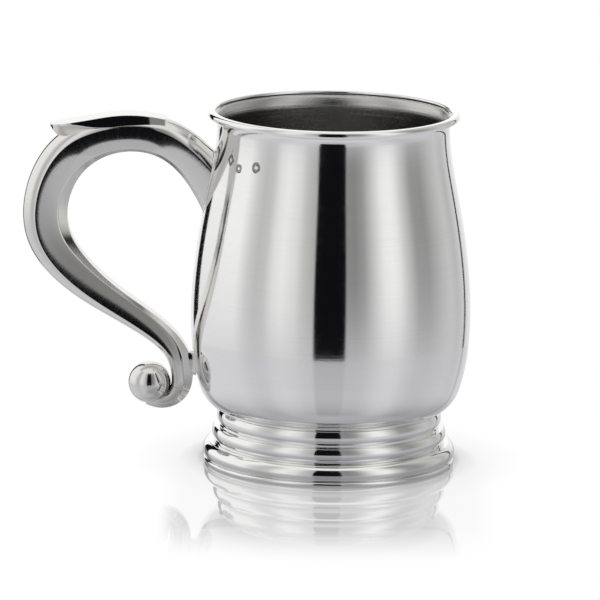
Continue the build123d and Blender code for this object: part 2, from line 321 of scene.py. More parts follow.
class NodeBuilder:
    """Short calls that add and join nodes in one tree."""

    def __init__(self, tree: bpy.types.NodeTree) -> None:
        """Keeps the tree to build in."""
        self.tree = tree

    def add(self, kind: str, **values: object) -> bpy.types.Node:
        """Adds a node.

        Args:
            kind: Blender's node type.
            values: properties of the node by name.

        Returns:
            The node.
        """
        node = self.tree.nodes.new(kind)
        for name, value in values.items():
            setattr(node, name, value)
        return node

    def feed(self, node: bpy.types.Node, socket: int | str, source: object) -> None:
        """Links a socket to another node's output, or sets its own value.

        Args:
            node: node to feed.
            socket: its input's name or number.
            source: an output socket, or a plain value.
        """
        if isinstance(source, bpy.types.NodeSocket):
            self.tree.links.new(source, node.inputs[socket])
        else:
            node.inputs[socket].default_value = source

    def fed(self, kind: str, inputs: dict[int | str, object], **values: object) -> bpy.types.Node:
        """Adds a node and feeds its inputs.

        Args:
            kind: Blender's node type.
            inputs: output sockets or plain values, by the input's name or number.
            values: properties of the node by name.

        Returns:
            The node.
        """
        node = self.add(kind, **values)
        for socket, source in inputs.items():
            self.feed(node, socket, source)
        return node

    def math(self, operation: str, *terms: object) -> bpy.types.NodeSocket:
        """One arithmetic step.

        Args:
            operation: Blender's operation name.
            terms: output sockets or numbers.

        Returns:
            The result's socket.
        """
        return self.fed("ShaderNodeMath", dict(enumerate(terms)), operation=operation).outputs[0]

    def split(self, vector: bpy.types.NodeSocket) -> tuple[bpy.types.NodeSocket, ...]:
        """The three parts of a vector."""
        return tuple(self.fed("ShaderNodeSeparateXYZ", {0: vector}).outputs)

    def join(self, *parts: object) -> bpy.types.NodeSocket:
        """The vector that has three given parts."""
        return self.fed("ShaderNodeCombineXYZ", dict(enumerate(parts))).outputs[0]

    def mix(self, share: object, first: object, second: object) -> bpy.types.NodeSocket:
        """Mixes two colours.

        Args:
            share: how much of the second is taken, from 0 to 1.
            first: a colour's socket, or its red, green, blue and cover.
            second: the other colour in the same way.

        Returns:
            The colour's socket.
        """
        inputs = dict(zip(COLOUR_MIX_INPUTS, (share, first, second)))
        return self.fed("ShaderNodeMix", inputs, data_type="RGBA").outputs[COLOUR_MIX_RESULT]

    def ramp(self, source: object, stops: Rows) -> bpy.types.NodeSocket:
        """A colour ramp that runs straight from stop to stop.

        Args:
            source: the value that is looked up.
            stops: position, red, green and blue of each stop, or position and grey.

        Returns:
            The colour's socket.
        """
        node = self.fed("ShaderNodeValToRGB", {0: source})
        elements = node.color_ramp.elements
        while len(elements) < len(stops):
            elements.new(0.5)
        for element, stop in zip(elements, stops):
            element.position = stop[0]
            shade = stop[1:] if len(stop) == 4 else (stop[1],) * 3
            element.color = (*shade, 1.0)
        return node.outputs[0]

    def remap(
        self, source: object, span: Span, result: Span = (0.0, 1.0), smooth: bool = True
    ) -> bpy.types.NodeSocket:
        """Maps one span of values to another and holds it at both ends.

        Args:
            source: the value.
            span: start and end of its span.
            result: results at the start and at the end.
            smooth: whether the change eases in and out.

        Returns:
            The result's socket.
        """
        kind = "SMOOTHSTEP" if smooth else "LINEAR"
        inputs = dict(enumerate((source, *span, *result)))
        node = self.fed("ShaderNodeMapRange", inputs, clamp=True, interpolation_type=kind)
        return node.outputs[0]

    def bump(
        self,
        height: object,
        strength: float,
        relief: float,
        normal: bpy.types.NodeSocket | None = None,
    ) -> bpy.types.NodeSocket:
        """Raises the surface by a height.

        Args:
            height: the height's socket.
            strength: share of the effect.
            relief: metres between heights 0 and 1.
            normal: a normal that is already bumped, to go on from.

        Returns:
            The normal's socket.
        """
        inputs = {"Strength": strength, "Distance": relief, "Height": height}
        if normal is not None:
            inputs["Normal"] = normal
        return self.fed("ShaderNodeBump", inputs).outputs[0]


def new_group(
    name: str, inputs: dict[str, float], outputs: tuple[str, ...]
) -> tuple[NodeBuilder, bpy.types.Node, bpy.types.Node]:
    """An empty shader group whose outputs are numbers.

    Args:
        name: the group's name.
        inputs: default of each number input; the one named Vector is a vector.
        outputs: names of the outputs.

    Returns:
        A builder for the group, its input node and its output node.
    """
    tree = bpy.data.node_groups.new(name, "ShaderNodeTree")
    for title, value in inputs.items():
        kind = "NodeSocketVector" if title == "Vector" else "NodeSocketFloat"
        socket = tree.interface.new_socket(name=title, in_out="INPUT", socket_type=kind)
        if kind == "NodeSocketFloat":
            socket.default_value = value
    for title in outputs:
        tree.interface.new_socket(name=title, in_out="OUTPUT", socket_type="NodeSocketFloat")
    build = NodeBuilder(tree)
    return build, build.add("NodeGroupInput"), build.add("NodeGroupOutput")


def polishing_marks() -> bpy.types.NodeTree:
    """Group: fine lines left by the mop, from a noise squeezed along the vector's first axis.

    Returns:
        The group, with outputs Height and Haze.
    """
    build, source, result = new_group(
        "polishing_marks", {"Vector": 0.0, "Fine": 2600.0, "Along": 14.0}, ("Height", "Haze")
    )
    scales = [source.outputs[title] for title in ("Fine", "Along", "Along")]
    parts = build.split(source.outputs["Vector"])
    squeezed = [build.math("MULTIPLY", part, scale) for part, scale in zip(parts, scales)]
    noise = {"Vector": build.join(*squeezed), "Scale": 1.0, "Detail": 4.0, "Roughness": 0.65}
    lines = build.fed("ShaderNodeTexNoise", noise).outputs[0]
    build.feed(result, "Height", lines)
    build.feed(result, "Haze", build.remap(lines, (0.42, 0.72)))
    return build.tree


def handling_wear() -> bpy.types.NodeTree:
    """Group: faint cloudy patches and sparse hairline scratches of a piece that is in use.

    A scratch is the edge between two cells of a bent pattern, kept only in the cloudy patches.

    Returns:
        The group, with outputs Cloud and Scratch.
    """
    build, source, result = new_group(
        "handling_wear", {"Vector": 0.0, "Patch": 38.0, "Hair": 420.0}, ("Cloud", "Scratch")
    )
    place, patch, hair = (source.outputs[title] for title in ("Vector", "Patch", "Hair"))
    noise = {"Vector": place, "Scale": patch, "Detail": 3.0}
    cloud = build.fed("ShaderNodeTexNoise", noise).outputs[0]
    warp = build.fed("ShaderNodeTexNoise", {"Vector": place, "Scale": 60.0}).outputs["Color"]
    small = build.fed("ShaderNodeVectorMath", {0: warp, "Scale": 0.02}, operation="SCALE")
    bent = build.fed("ShaderNodeVectorMath", {0: place, 1: small.outputs[0]}, operation="ADD")
    net = {"Vector": bent.outputs[0], "Scale": hair}
    cells = build.fed("ShaderNodeTexVoronoi", net, feature="DISTANCE_TO_EDGE").outputs[0]
    edges = build.remap(cells, (0.0, 0.012), FALLING)
    sparse = build.remap(cloud, (0.5, 0.62))
    build.feed(result, "Cloud", build.remap(cloud, (0.35, 0.7)))
    build.feed(result, "Scratch", build.math("MULTIPLY", edges, sparse))
    return build.tree


def punch_mark() -> bpy.types.NodeTree:
    """Group: a plain struck mark, a sunk outline with a small boss in its middle.

    The distance from the mark's centre is |u| and |v| to the power Shape, added and rooted, so a
    shape of 2 is round and of 1 a lozenge; u runs round the body and v upwards.

    Returns:
        The group, with output Height.
    """
    build, source, result = new_group(
        "punch_mark",
        {"Vector": 0.0, "Turn": 0.0, "Level": 0.1, "Reach": 0.0013, "Shape": 2.0},
        ("Height",),
    )
    reach, shape = source.outputs["Reach"], source.outputs["Shape"]
    x, y, z = build.split(source.outputs["Vector"])
    turn = build.math("SUBTRACT", build.math("ARCTAN2", y, x), source.outputs["Turn"])
    u = build.math("MULTIPLY", turn, STRUCK_RADIUS)
    v = build.math("SUBTRACT", z, source.outputs["Level"])
    shares = [build.math("DIVIDE", build.math("ABSOLUTE", run), reach) for run in (u, v)]
    total = build.math("ADD", *(build.math("POWER", share, shape) for share in shares))
    away = build.math("POWER", total, build.math("DIVIDE", 1.0, shape))
    wall = build.remap(away, (0.82, 1.0))
    boss = build.remap(away, (0.28, 0.5), FALLING)
    build.feed(result, "Height", build.math("MAXIMUM", wall, boss))
    return build.tree


class Groups:
    """The shader groups that several finishes share, each built once."""

    def __init__(self) -> None:
        """Builds the groups."""
        self.marks = polishing_marks()
        self.wear = handling_wear()
        self.punch = punch_mark()


@dataclass(frozen=True)
class Struck:
    """One struck mark: degrees from the front to the left, level, reach in metres and shape."""

    turn: float
    level: float
    reach: float
    shape: float

    def height(
        self, build: NodeBuilder, groups: Groups, place: bpy.types.NodeSocket
    ) -> bpy.types.NodeSocket:
        """The mark as a height, 0 where it is sunk and 1 elsewhere.

        Args:
            build: the material's builder.
            groups: the shared shader groups.
            place: the object coordinates.

        Returns:
            The height's socket.
        """
        inputs = {
            "Vector": place,
            "Turn": math.radians(-90 - self.turn),
            "Level": self.level,
            "Reach": self.reach,
            "Shape": self.shape,
        }
        return build.fed("ShaderNodeGroup", inputs, node_tree=groups.punch).outputs[0]


@dataclass(frozen=True)
class Pewter:
    """A finish of bare pewter."""

    name: str
    colour: Shade = (BRIGHT, 0.857, 0.85)
    roughness: float = 0.05
    haze: float = 0.03
    marks: Direction = Direction.ROUND
    mark_depth: float = 0.02
    fine: float = 2600.0
    along: float = 14.0
    shade: float = 0.03
    scratch: float = 0.02
    scratch_haze: float = 0.12
    tarnish_and_shade: Shade = (0.22, 0.21, 0.20)
    relief: float = 0.0004
    struck: tuple[Struck, ...] = ()
    struck_relief: float = 0.0006
    struck_shade: float = 0.9

    def make(self, groups: Groups) -> bpy.types.Material:
        """Builds the material.

        Args:
            groups: the shared shader groups.

        Returns:
            The material.
        """
        material = bpy.data.materials.new(self.name)
        material.use_nodes = True
        build = NodeBuilder(material.node_tree)
        shader = material.node_tree.nodes["Principled BSDF"]
        where = build.add("ShaderNodeTexCoord")
        place = where.outputs["Object"]
        lines = {"Vector": self._mark_vector(build, where), "Fine": self.fine, "Along": self.along}
        marks = build.fed("ShaderNodeGroup", lines, node_tree=groups.marks).outputs
        wear = build.fed("ShaderNodeGroup", {"Vector": place}, node_tree=groups.wear).outputs
        dull = build.math("MULTIPLY_ADD", marks["Haze"], self.haze, self.roughness)
        dull = build.math("MULTIPLY_ADD", wear["Cloud"], self.haze, dull)
        dull = build.math("MULTIPLY_ADD", wear["Scratch"], self.scratch_haze, dull)
        build.feed(shader, "Roughness", dull)
        dim = build.math("MULTIPLY", wear["Cloud"], self.shade)
        dim = build.math("MULTIPLY_ADD", marks["Haze"], self.shade, dim)
        # inside each struck mark the colour is pulled most of the way to the dark grey: painted
        # shade in the sunk mark
        dents = [mark.height(build, groups, place) for mark in self.struck]
        for dent in dents:
            sunk = build.math("MULTIPLY_ADD", dent, -self.struck_shade, self.struck_shade)
            dim = build.math("ADD", dim, sunk)
        # the dark grey is tarnish where cloudy wear and polishing haze pull towards it, and painted
        # shade inside the struck marks
        tone = build.mix(dim, (*self.colour, 1.0), (*self.tarnish_and_shade, 1.0))
        build.feed(shader, "Base Color", tone)
        shader.inputs["Metallic"].default_value = 1.0
        height = build.math("MULTIPLY_ADD", wear["Scratch"], -self.scratch, marks["Height"])
        normal = build.bump(height, self.mark_depth, self.relief)
        for dent in dents:
            normal = build.bump(dent, 1.0, self.struck_relief, normal)
        build.feed(shader, "Normal", normal)
        return material

    def _mark_vector(self, build: NodeBuilder, where: bpy.types.Node) -> bpy.types.NodeSocket:
        """The vector whose first axis runs across the polishing lines.

        Round the axis the first part is the distance from the axis plus the height.

        Args:
            build: the material's builder.
            where: its texture coordinate node.

        Returns:
            The vector's socket.
        """
        if self.marks is Direction.ACROSS:
            return where.outputs["UV"]
        if self.marks is Direction.FREE:
            return where.outputs["Object"]
        x, y, z = build.split(where.outputs["Object"])
        squares = [build.math("POWER", part, 2.0) for part in (x, y)]
        radius = build.math("SQRT", build.math("ADD", *squares))
        return build.join(build.math("ADD", radius, z), x, y)


# ---------------------------------------------------------------- body
@dataclass
class Body:
    """Spun tulip body with its wired lip and soldered bottom, all in millimetres.

    low_shares place two points of the wall between seat and belly in radius, low_rises in height
    over the seat; high_shares place two between neck and belly, at thirds of that height.
    """

    height: float = 120.0
    seat_level: float = 17.9
    seat_radius: float = 37.2
    belly_radius: float = 47.2
    belly_level: float = 48.0
    seat_lean: Point = (0.85, 0.5)
    low_shares: Span = (0.53, 0.75)
    low_rises: Span = (4.6, 10.1)
    high_shares: Span = (0.84, 0.39)
    neck_radius: float = 39.05
    neck_drop: float = 5.5
    wall: float = 1.5
    wire_height: float = 1.5
    wire_outer: float = 42.3
    wire_width: float = 2.7
    flare_radius: float = 41.3
    wire_skirt: float = 0.6
    spigot_radius: float = 35.6
    spigot_depth: float = 4.3
    disc_thickness: float = 1.6
    disc_drop: float = 1.4
    disc_ledge: float = 0.9
    disc_break: float = 0.15
    solder_leg: float = 1.0
    gap: float = 0.05

    def __post_init__(self) -> None:
        """Draws the outer line of the wall, from the seat to the neck."""
        self.neck_level = self.height - self.neck_drop
        self.wire_base = self.height - self.wire_height
        rise = self.neck_level - self.belly_level
        slim = self.belly_radius - self.neck_radius
        spread = self.belly_radius - self.seat_radius
        low = [
            (self.seat_radius + share * spread, self.seat_level + climb)
            for share, climb in zip(self.low_shares, self.low_rises)
        ]
        high = [
            (self.neck_radius + share * slim, self.belly_level + rise * third / 3)
            for third, share in enumerate(self.high_shares, 1)
        ]
        seat = (self.seat_radius, self.seat_level)
        belly = (self.belly_radius, self.belly_level)
        neck = (self.neck_radius, self.neck_level)
        self.tulip = SmoothCurve(
            np.array([seat, *low, belly, *high, neck]),
            start=np.array(self.seat_lean) / math.hypot(*self.seat_lean),
            end=np.array([0.0, 1.0]),
        )

    def outer_line(self, count: int = 150) -> np.ndarray:
        """Outer line of the wall: the tulip and then the flare.

        The flare is a circle's arc that leaves the neck upright and ends at the flare's edge.

        Args:
            count: number of points on the tulip.

        Returns:
            Radii and heights, from the seat up to the flare's edge.
        """
        run = self.flare_radius - self.neck_radius
        climb = self.wire_base - self.neck_level
        radius = (run**2 + climb**2) / (2 * run)
        sweep = math.asin(climb / radius)
        turn = np.linspace(0, sweep, 22)[1:]
        out = self.neck_radius + radius * (1 - np.cos(turn))
        flare = np.stack([out, self.neck_level + radius * np.sin(turn)], axis=1)
        return np.concatenate([self.tulip(np.linspace(0, self.tulip.length, count)), flare])

    def radius_at(self, level: np.ndarray) -> np.ndarray:
        """Outer radius of the wall at heights.

        Args:
            level: heights in millimetres.

        Returns:
            Radii in millimetres.
        """
        line = self.outer_line(600)
        return np.interp(level, line[:, 1], line[:, 0])

    def shell(self) -> bpy.types.Object:
        """The wall, spigot and disc shoulder as one closed turned skin.

        The inner line is the outer one moved by the wall's thickness along its own normal.

        Returns:
            The piece.
        """
        outer = self.outer_line()
        along = np.gradient(outer, axis=0)
        along /= np.linalg.norm(along, axis=1)[:, None]
        inner = outer + self.wall * np.stack([-along[:, 1], along[:, 0]], axis=1)
        inner = inner[inner[:, 1] < self.wire_base]
        disc_radius = self.spigot_radius - self.wall
        ledge = disc_radius - self.disc_ledge
        disc_top = self.seat_level - self.disc_drop
        spigot_end = self.seat_level - self.spigot_depth
        foot = inner[0]
        top = np.array([(self.flare_radius, self.wire_base), (inner[-1, 0] + 0.25, self.wire_base)])
        under = np.array(
            [
                (ledge, foot[1] - 1.0),
                (ledge, disc_top),
                (disc_radius, disc_top),
                (disc_radius, spigot_end),
                (self.spigot_radius, spigot_end),
                (self.spigot_radius, self.seat_level),
            ]
        )
        outline = np.concatenate([outer[:-1], top, inner[::-1], under])
        wall = turned(softened(outline, radius=0.12), around=256)
        return skin("body_shell_wall", [wall], closed_rows=True)

    def mouth_wire(self) -> bpy.types.Object:
        """The drawn wire of the lip: a rounded nose outside and a softer round inside.

        Returns:
            The piece.
        """
        inner = self.wire_outer - self.wire_width
        skirt = self.wire_base - self.wire_skirt
        edge = self.flare_radius + self.gap
        nose = self.wire_outer - 0.25
        middle = (self.height + skirt) / 2 + 0.2
        outside = arc((nose, skirt), (self.wire_outer, middle), (nose - 0.5, self.height))
        inside = arc(
            (inner + 0.9, self.height),
            (inner + 0.3, self.height - 0.12),
            (inner, self.height - 0.6),
        )
        rebate = np.array([(inner, self.wire_base), (edge, self.wire_base), (edge, skirt)])
        outline = np.concatenate([outside, inside, rebate])
        wire = turned(softened(outline, radius=0.2, steps=5), around=320)
        return skin("mouth_wire_lip", [wire], closed_rows=True)

    def floor_disc(self) -> bpy.types.Object:
        """The flat bottom, with its rim just broken, turned from the middle out.

        Returns:
            The piece.
        """
        top = self.seat_level - self.disc_drop
        low = top - self.disc_thickness
        radius = self.spigot_radius - self.wall - self.gap
        flat = radius - self.disc_break
        spread = np.linspace(0, 1, 24)[:, None]
        upper = np.array([0.0, top]) + spread * np.array([flat, 0.0])
        lower = np.array([flat, low]) - spread * np.array([flat, 0.0])
        rim = np.array([(radius, top - self.disc_break), (radius, low + self.disc_break)])
        outline = np.concatenate([upper, rim, lower])
        return skin("floor_disc_plate", [turned(outline, around=160)])

    def fillet(self, name: str, corner: float, level: float) -> bpy.types.Object:
        """A hollow-faced run of solder in a corner that faces down and inwards.

        Args:
            name: the piece's name.
            corner: radius of the corner's upright side.
            level: height of its level side.

        Returns:
            The piece.
        """
        leg = self.solder_leg
        hollow = 0.36 * leg
        middle = (corner - hollow, level - hollow)
        face = arc((corner - leg, level), middle, (corner, level - leg), count=9)
        outline = np.concatenate([face, [(corner, level)]])
        return skin(name, [turned(outline, around=192)], closed_rows=True)

    def build(self, finishes: dict[str, bpy.types.Material]) -> None:
        """Makes and dresses the body's pieces.

        Args:
            finishes: materials by name.
        """
        shell = self.shell()
        stand_for(shell, finishes["bright"], "polished_pewter", "body_shell")
        shell.data.materials.append(finishes["inside"])
        centre = np.zeros(len(shell.data.polygons) * 3, np.float32)
        facing = np.zeros_like(centre)
        shell.data.polygons.foreach_get("center", centre)
        shell.data.polygons.foreach_get("normal", facing)
        centre, facing = centre.reshape(-1, 3), facing.reshape(-1, 3)
        inwards = np.sum(centre[:, :2] * facing[:, :2], axis=1) < 0
        inside = inwards & (centre[:, 2] > (self.seat_level - 1.5) * MM)
        shell.data.polygons.foreach_set("material_index", inside.astype(np.int32))
        stand_for(self.mouth_wire(), finishes["lip"], "polished_pewter", "mouth_wire")
        stand_for(self.floor_disc(), finishes["inside"], "satin_pewter", "floor_disc")
        below = self.seat_level - self.disc_drop - self.disc_thickness
        floor = self.fillet("floor_solder_run", self.spigot_radius - self.wall, below)
        stand_for(floor, finishes["solder"], "solder", "floor_solder")
        under = self.seat_level - self.spigot_depth
        foot = self.fillet("foot_solder_run", self.spigot_radius + self.gap, under)
        stand_for(foot, finishes["solder"], "solder", "foot_solder")


# ---------------------------------------------------------------- foot
@dataclass
class Foot:
    """Stepped spun foot: reeded collar, ovolo flange and the wire it stands on."""

    seat_level: float = 17.9
    spigot_radius: float = 35.6
    spigot_depth: float = 4.3
    solder_leg: float = 1.0
    flange_level: float = 7.0
    base_wire_height: float = 1.6
    upper_reed_radius: float = 37.4
    lower_reed_radius: float = 38.9
    reed_bulge: float = 0.55
    reed_fillet: float = 0.8
    collar_wall: float = 1.3
    flange_shoulder: float = 40.9
    flange_radius: float = 42.6
    flange_wall: float = 2.0
    collar_tongue: float = 1.6
    base_wire_outer: float = 42.5
    base_wire_width: float = 2.5
    base_wire_upstand: float = 1.0
    gap: float = 0.05

    def collar(self) -> bpy.types.Object:
        """The two reeds: each an arc standing proud, with a small fillet below it.

        Returns:
            The piece.
        """
        socket = self.spigot_radius + self.gap
        step = (self.seat_level + self.flange_level) / 2
        reed_low = step + self.reed_fillet
        lower_low = self.flange_level + self.reed_fillet + 0.3
        throat = self.seat_level - self.spigot_depth - self.solder_leg - 0.2
        tongue = self.lower_reed_radius - self.collar_wall
        tongue_end = self.flange_level - self.collar_tongue
        waist = self.upper_reed_radius - 0.1
        foot = self.lower_reed_radius + 0.2
        high = self.seat_level - 0.2
        upper = arc(
            (self.upper_reed_radius, high),
            (self.upper_reed_radius + self.reed_bulge, (high + reed_low) / 2),
            (self.upper_reed_radius, reed_low),
        )
        lower = arc(
            (self.lower_reed_radius, step - 0.15),
            (self.lower_reed_radius + self.reed_bulge + 0.1, (step - 0.15 + lower_low) / 2),
            (foot, lower_low),
        )
        outline = np.concatenate(
            [
                [(socket, self.seat_level), (self.upper_reed_radius - 0.2, self.seat_level)],
                upper,
                [(waist, reed_low), (waist, step)],
                lower,
                [
                    (foot, self.flange_level),
                    (self.lower_reed_radius, self.flange_level),
                    (self.lower_reed_radius, tongue_end),
                    (tongue, tongue_end),
                    (tongue, self.flange_level + 1.0),
                    (socket, throat),
                ],
            ]
        )
        reeds = turned(softened(outline, radius=0.16), around=320)
        return skin("foot_collar_reeds", [reeds], closed_rows=True)

    def flange(self) -> bpy.types.Object:
        """The ovolo: one arc from its shoulder out and down to the groove over the wire.

        Returns:
            The piece.
        """
        bore = self.lower_reed_radius + self.gap
        tongue_end = self.flange_level - self.collar_tongue
        hollow = self.flange_radius - self.flange_wall
        low = self.base_wire_height
        ovolo = arc(
            (self.flange_shoulder, self.flange_level - 0.15),
            (self.flange_radius - 0.1, self.flange_level - 2.2),
            (self.flange_radius - 0.2, low + 0.7),
            count=25,
        )
        outline = np.concatenate(
            [
                [(bore, self.flange_level), (self.flange_shoulder - 0.1, self.flange_level)],
                ovolo,
                [
                    (self.flange_radius - 0.8, low + 0.3),
                    (self.flange_radius - 0.8, low),
                    (hollow, low),
                    (hollow, low + 1.9),
                    (bore, tongue_end - 0.4),
                ],
            ]
        )
        skirt = turned(softened(outline, radius=0.16), around=320)
        return skin("foot_flange_ovolo", [skirt], closed_rows=True)

    def wire(self) -> bpy.types.Object:
        """The base wire: rounded outside, flat below, with its centring upstand inside.

        Returns:
            The piece.
        """
        hollow = self.flange_radius - self.flange_wall - self.gap
        inner = self.base_wire_outer - self.base_wire_width
        top = self.base_wire_height
        upstand = top + self.base_wire_upstand
        outside = arc(
            (self.base_wire_outer - 0.5, top),
            (self.base_wire_outer, top * 0.55),
            (self.base_wire_outer - 0.3, 0.0),
        )
        inside = [(inner, 0.0), (inner, upstand), (hollow, upstand), (hollow, top)]
        outline = np.concatenate([outside, inside])
        ring = turned(softened(outline, radius=0.14), around=320)
        return skin("base_wire_ring", [ring], closed_rows=True)

    def build(self, finishes: dict[str, bpy.types.Material]) -> None:
        """Makes and dresses the foot's pieces.

        Args:
            finishes: materials by name.
        """
        stand_for(self.collar(), finishes["foot"], "polished_pewter", "foot_collar")
        stand_for(self.flange(), finishes["foot"], "polished_pewter", "foot_flange")
        stand_for(self.wire(), finishes["foot"], "polished_pewter", "base_wire")


# ---------------------------------------------------------------- handle
@dataclass
class Handle:
    """Hollow scroll handle with its leaf, ball, strut and solder.

    Rows of arm and scroll hold out, rise, shares of depth and half width, back band and inner
    chamfer. Rows of leaf hold run, drop, half width, waist, foot and the shares of half width at
    waist and foot.
    """

    body: Body
    low: float = 33.0
    drop: float = 20.0
    depth: float = 15.1
    half_width: float = 6.6
    lean: float = 0.205
    bulge: float = 0.19
    chamfer_run: float = 0.85
    edge: float = 0.28
    arm: Rows = (
        (-4.9, 0.828, 1.13, 1.09, 4.8, 1.5),
        (4.9, 1.000, 0.92, 1.03, 4.6, 1.3),
        (18.4, 1.146, 0.85, 0.99, 4.3, 1.2),
        (34.3, 1.172, 0.83, 0.99, 4.2, 1.2),
        (48.5, 1.084, 0.98, 1.00, 4.4, 2.0),
        (55.4, 0.884, 1.00, 1.00, 4.4, 3.0),
        (53.6, 0.646, 0.98, 0.99, 4.3, 2.8),
        (43.3, 0.458, 0.85, 0.94, 3.7, 1.8),
        (29.2, 0.309, 0.68, 0.87, 2.8, 1.1),
        (14.8, 0.179, 0.58, 0.81, 2.1, 1.3),
        (4.7, 0.037, 0.52, 0.76, 1.6, 2.2),
        (2.4, -0.055, 0.49, 0.73, 1.3, 2.7),
        (2.3, -0.130, 0.44, 0.70, 1.2, 2.4),
    )
    scroll: Rows = (
        (4.3, -0.179, 0.37, 0.64, 1.0, 1.9),
        (8.8, -0.201, 0.30, 0.58, 0.9, 1.5),
        (13.0, -0.190, 0.25, 0.50, 0.8, 1.2),
    )
    ball_radius: float = 7.2
    ball_out: float = 12.1
    ball_rise: float = 6.3
    leaf_lift: float = 0.4
    leaf: Rows = (
        (-15.6, 1.4, 4.2, 2.9, 3.2, 1.20, 1.15),
        (-10.2, 0.4, 4.8, 3.6, 3.9, 1.20, 1.15),
        (-4.8, 0.0, 5.1, 4.0, 4.4, 1.20, 1.15),
        (0.6, 0.2, 5.2, 3.9, 4.6, 1.18, 1.00),
        (5.6, 0.9, 5.4, 3.3, 4.9, 1.14, 0.85),
        (9.9, 1.7, 5.6, 2.4, 5.0, 1.10, 0.72),
        (15.9, 2.8, 5.8, 0.7, 5.1, 1.02, 0.40),
        (20.4, 3.6, 4.6, 0.5, 4.3, 1.00, 0.30),
        (22.2, 3.9, 2.7, 0.4, 2.3, 1.00, 0.30),
        (23.2, 4.1, 0.5, 0.3, 0.7, 1.00, 0.50),
    )
    strut_half_width: float = 2.8
    strut_height: float = 8.5
    strut_reach: float = 5.5
    strut_power: int = 5
    strut_middle: float = 0.95
    strut_swell: float = 0.10
    solder_width: float = 0.7
    solder_pull: float = 0.35
    solder_root: float = 0.25
    arm_rows: int = 300
    curl_rows: int = 90
    leaf_rows: int = 160

    def __post_init__(self) -> None:
        """Works out the centre line and the surface that carries the section along it."""
        self.upper = self.body.height - self.drop
        stations = np.array(self.arm + self.scroll)
        self.centres = self.place(stations[:, 0], stations[:, 1])
        step = np.diff(self.centres, axis=0)
        weight = step / np.sum(step**2, axis=1)[:, None]
        pull = np.zeros_like(self.centres)
        pull[:-1] += weight
        pull[1:] += weight
        self.headings = pull / np.linalg.norm(pull, axis=1)[:, None]
        sections = self.sections(stations)
        self.across = sections.shape[1]
        knots = np.concatenate([[0.0], np.cumsum(np.linalg.norm(step, axis=1))])
        self.surface = SmoothCurve(sections.reshape(len(stations), -1), knots)
        self.joint = float(knots[len(self.arm) - 1])

    def place(self, out: np.ndarray, rise: np.ndarray) -> np.ndarray:
        """Points of the middle plane, tied to the belly below and the neck above.

        Args:
            out: distances out from the wall's straight line.
            rise: 0 at the strut, 1 at the upper joint.

        Returns:
            Pairs of x and z.
        """
        line = self.body.belly_radius + (self.body.neck_radius - self.body.belly_radius) * rise
        return np.stack([-(line + out), self.low + (self.upper - self.low) * rise], axis=-1)

    def sections(self, stations: np.ndarray) -> np.ndarray:
        """The section at each station, placed in space.

        Across the handle the section is a crowned back (an arc through both creases and the
        back's middle), leaning flanks (a straight line plus a small bulge that is greatest at
        half way), a chamfer and the inner face. Each corner is a short quadratic curve.

        Args:
            stations: out, rise, shares of depth and half width, back band and inner chamfer.

        Returns:
            Stations by points round the section by three coordinates.
        """
        depth = self.depth * stations[:, 2]
        half = self.half_width * stations[:, 3]
        back = -depth / 2
        crease = back + stations[:, 4]
        face = depth / 2
        fold = face - stations[:, 5]
        flank = half - self.lean * (fold - crease)
        rim = flank - self.chamfer_run * (face - fold)
        sag = crease - back
        radius = (half**2 + sag**2) / (2 * sag)
        open_angle = np.arcsin(np.clip(half / radius, -1, 1))
        turn = np.linspace(0, 1, 22) * open_angle[:, None]
        back, crease, fold, face = back[:, None], crease[:, None], fold[:, None], face[:, None]
        half, flank, rim, radius = half[:, None], flank[:, None], rim[:, None], radius[:, None]
        crown = np.stack([back + radius * (1 - np.cos(turn)), radius * np.sin(turn)], -1)
        t = np.linspace(0, 1, 17)
        belly = self.bulge * 4 * t * (1 - t)
        side = np.stack([crease + (fold - crease) * t, half + (flank - half) * t + belly], -1)
        slope = np.stack([fold + (face - fold) * t, flank + (rim - flank) * t], -1)
        inner = np.stack([face + 0 * t, rim * (1 - t)], -1)
        upper = self.joined([crown, side, slope, inner])
        lower = upper[:, -2:0:-1] * np.array([1.0, -1.0])
        outline = np.concatenate([upper, lower], axis=1)
        dx, dz = self.headings[:, 0, None], self.headings[:, 1, None]
        x = self.centres[:, 0, None] - dz * outline[..., 0]
        z = self.centres[:, 1, None] + dx * outline[..., 0]
        return np.stack([x, outline[..., 1], z], axis=-1)

    def joined(self, runs: list[np.ndarray]) -> np.ndarray:
        """Runs of a section joined end to end, each corner between two runs rounded.

        Args:
            runs: arrays of stations by points by two, each starting where the last one ended.

        Returns:
            Stations by points by two.
        """
        parts = [runs[0][:, :-1]]
        t = np.linspace(0, 1, 6)[None, :, None]
        for before, after in zip(runs[:-1], runs[1:]):
            corner = after[:, :1]
            back = before[:, -2:-1] - corner
            on = after[:, 1:2] - corner
            ends = []
            for run in (back, on):
                reach = np.minimum(self.edge / np.linalg.norm(run, axis=2, keepdims=True), 0.9)
                ends.append(corner + run * reach)
            parts.append(bow(ends[0], corner, ends[1], t))
            parts.append(after[:, 1:-1])
        parts.append(runs[-1][:, -1:])
        return np.concatenate(parts, axis=1)

    def strip(self, at: np.ndarray) -> np.ndarray:
        """Points of the handle's surface.

        Args:
            at: rows by columns of distances run along the centre line, a column for each
                point round the section.

        Returns:
            Rows by columns by three coordinates.
        """
        whole = self.surface(at).reshape(at.shape + (self.across, 3))
        column = np.arange(self.across)
        return np.take_along_axis(whole, column[None, :, None, None], axis=2)[:, :, 0]

